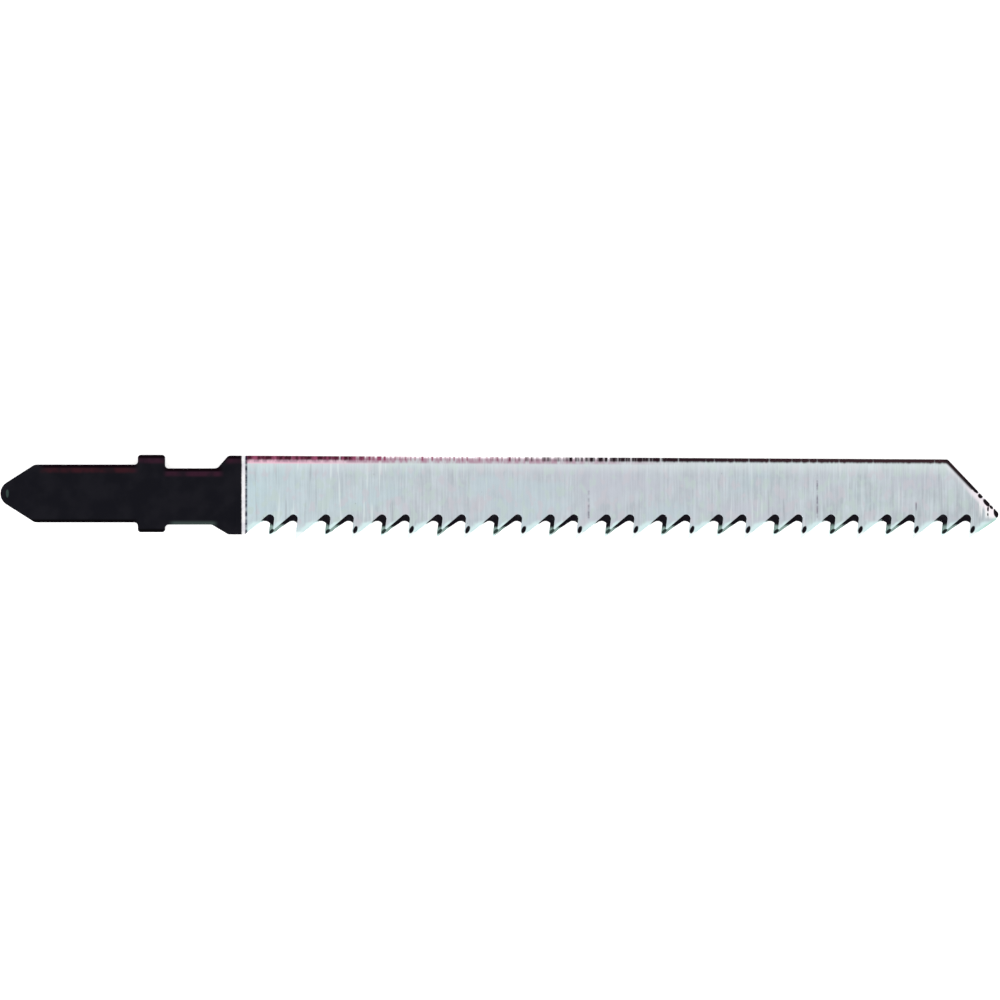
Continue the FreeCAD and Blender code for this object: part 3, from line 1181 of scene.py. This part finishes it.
@dataclass
class Blade:
    """The blade, which is one piece of steel with finishes that change along it."""

    node: str = "blade"
    edge_round: float = 0.05
    turned_where: Step = Step(0.985, 0.90)
    specular: float = 0.0
    steel: GroundSteel = field(default_factory=GroundSteel)
    dark_skin_and_shade: DarkSkinAndShade = field(default_factory=DarkSkinAndShade)
    shank: Shank = field(default_factory=Shank)
    heel: Heel = field(default_factory=Heel)
    edges: BackAndNose = field(default_factory=BackAndNose)
    teeth: ToothRow = field(default_factory=ToothRow)

    def dress(self) -> bpy.types.Object:
        """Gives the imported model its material.

        Returns:
            The blade's object.
        """
        nodes = FinishNodes("blade_steel")
        rounded = nodes.rounded_normal(self.edge_round)
        turning = nodes.dot(rounded, nodes.normal(Normal.SMOOTH))
        dark_skin_and_shade = self.dark_skin_and_shade.surface(nodes)
        look = self.steel.surface(nodes)
        for piece in (self.teeth, self.edges, self.heel):
            look = piece.dress(nodes, look, dark_skin_and_shade)
        look = self.shank.dress(nodes, look, nodes.ramp(turning, self.turned_where))
        nodes.finish(look, rounded, self.specular)
        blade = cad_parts[self.node]
        blade.data.materials.clear()
        blade.data.materials.append(nodes.material)
        return blade


@dataclass
class Floor:
    """The pale lit table that the blade lies on."""

    half_width: float = 1.5
    level: float = -0.76
    shade: Colour = (0.92, 0.92, 0.915)
    light: Colour = (0.93, 0.93, 0.925)
    grain: Grain = Grain((0.4, 0.4, 0.4), seed=91.0)
    light_where: Step = Step(0.3, 0.7)
    roughness: float = 0.9
    specular: float = 0.1
    glow: float = 0.60

    def build(self) -> bpy.types.Object:
        """Makes the table top.

        Returns:
            Its object.
        """
        half = self.half_width
        corners = [(-half, -half, 0), (half, -half, 0), (half, half, 0), (-half, half, 0)]
        mesh = bpy.data.meshes.new("floor")
        mesh.from_pydata(corners, [], [(0, 1, 2, 3)])
        floor = bpy.data.objects.new("floor", mesh)
        floor.location.z = self.level * MILLIMETRE
        bpy.context.scene.collection.objects.link(floor)
        nodes = FinishNodes("pale_table")
        lighter = nodes.ramp(nodes.noise(self.grain), self.light_where)
        table = Surface(
            nodes.blend(lighter, self.shade, self.light), metal=0.0, roughness=self.roughness
        )
        nodes.finish(table, None, self.specular, self.glow)
        mesh.materials.append(nodes.material)
        return floor


@dataclass
class Studio:
    """The soft light and the camera straight above the blade."""

    sky_high: float = 1.0
    sky_low: float = 0.85
    sky_high_from: float = 0.9
    lamp_place: Axes = (-0.26, -0.30, 0.26)
    lamp_side: float = 0.30
    lamp_power: float = 1.3
    camera_place: Axes = (0.03492, -0.00065, 1.20075)
    view_width: float = 0.10015
    view_distance: float = 1.200
    sensor: float = 36.0
    nearest: float = 0.01

    def sky(self) -> bpy.types.World:
        """Makes the soft light from all round, a little weaker near the horizon.

        Returns:
            The world.
        """
        world = bpy.data.worlds.new("studio")
        world.use_nodes = True
        tree = world.node_tree
        direction = tree.nodes.new("ShaderNodeTexCoord")
        split = tree.nodes.new("ShaderNodeSeparateXYZ")
        height = tree.nodes.new("ShaderNodeMapRange")
        tree.links.new(direction.outputs["Generated"], split.inputs[0])
        tree.links.new(split.outputs["Z"], height.inputs["Value"])
        for name, value in (
            ("From Min", 0.0),
            ("From Max", self.sky_high_from),
            ("To Min", self.sky_low),
            ("To Max", self.sky_high),
        ):
            height.inputs[name].default_value = value
        background = tree.nodes["Background"]
        background.inputs["Color"].default_value = (*WHITE, 1.0)
        tree.links.new(height.outputs[0], background.inputs["Strength"])
        bpy.context.scene.world = world
        return world

    def lamp(self) -> bpy.types.Object:
        """Hangs the large soft lamp.

        Returns:
            Its object.
        """
        light = bpy.data.lights.new("soft_lamp", "AREA")
        light.shape = "SQUARE"
        light.size = self.lamp_side
        light.energy = self.lamp_power
        lamp = bpy.data.objects.new("soft_lamp", light)
        lamp.location = self.lamp_place
        middle = Vector((self.camera_place[0], self.camera_place[1], 0.0))
        lamp.rotation_euler = (middle - lamp.location).to_track_quat("-Z", "Y").to_euler()
        bpy.context.scene.collection.objects.link(lamp)
        return lamp

    def camera(self) -> bpy.types.Object:
        """Sets the camera straight above the blade, as in the photograph.

        Returns:
            Its object.
        """
        lens = bpy.data.cameras.new("camera")
        lens.sensor_width = self.sensor
        lens.lens = self.sensor * self.view_distance / self.view_width
        lens.clip_start = self.nearest
        camera = bpy.data.objects.new("camera", lens)
        camera.location = self.camera_place
        bpy.context.scene.collection.objects.link(camera)
        bpy.context.scene.camera = camera
        return camera

    def colours(self) -> None:
        """Shows the light as it is, with no film curve."""
        bpy.context.scene.view_settings.view_transform = "Standard"
        bpy.context.scene.view_settings.look = "None"


def main() -> None:
    """Builds the scene piece by piece."""
    logging.basicConfig(level=logging.INFO, format="%(name)s: %(message)s")
    log.info("blade: %s", Blade().dress().name)
    log.info("floor: %s", Floor().build().name)
    studio = Studio()
    log.info("sky: %s", studio.sky().name)
    log.info("lamp: %s", studio.lamp().name)
    log.info("camera: %s", studio.camera().name)
    studio.colours()


if __name__ == "__main__":
    main()
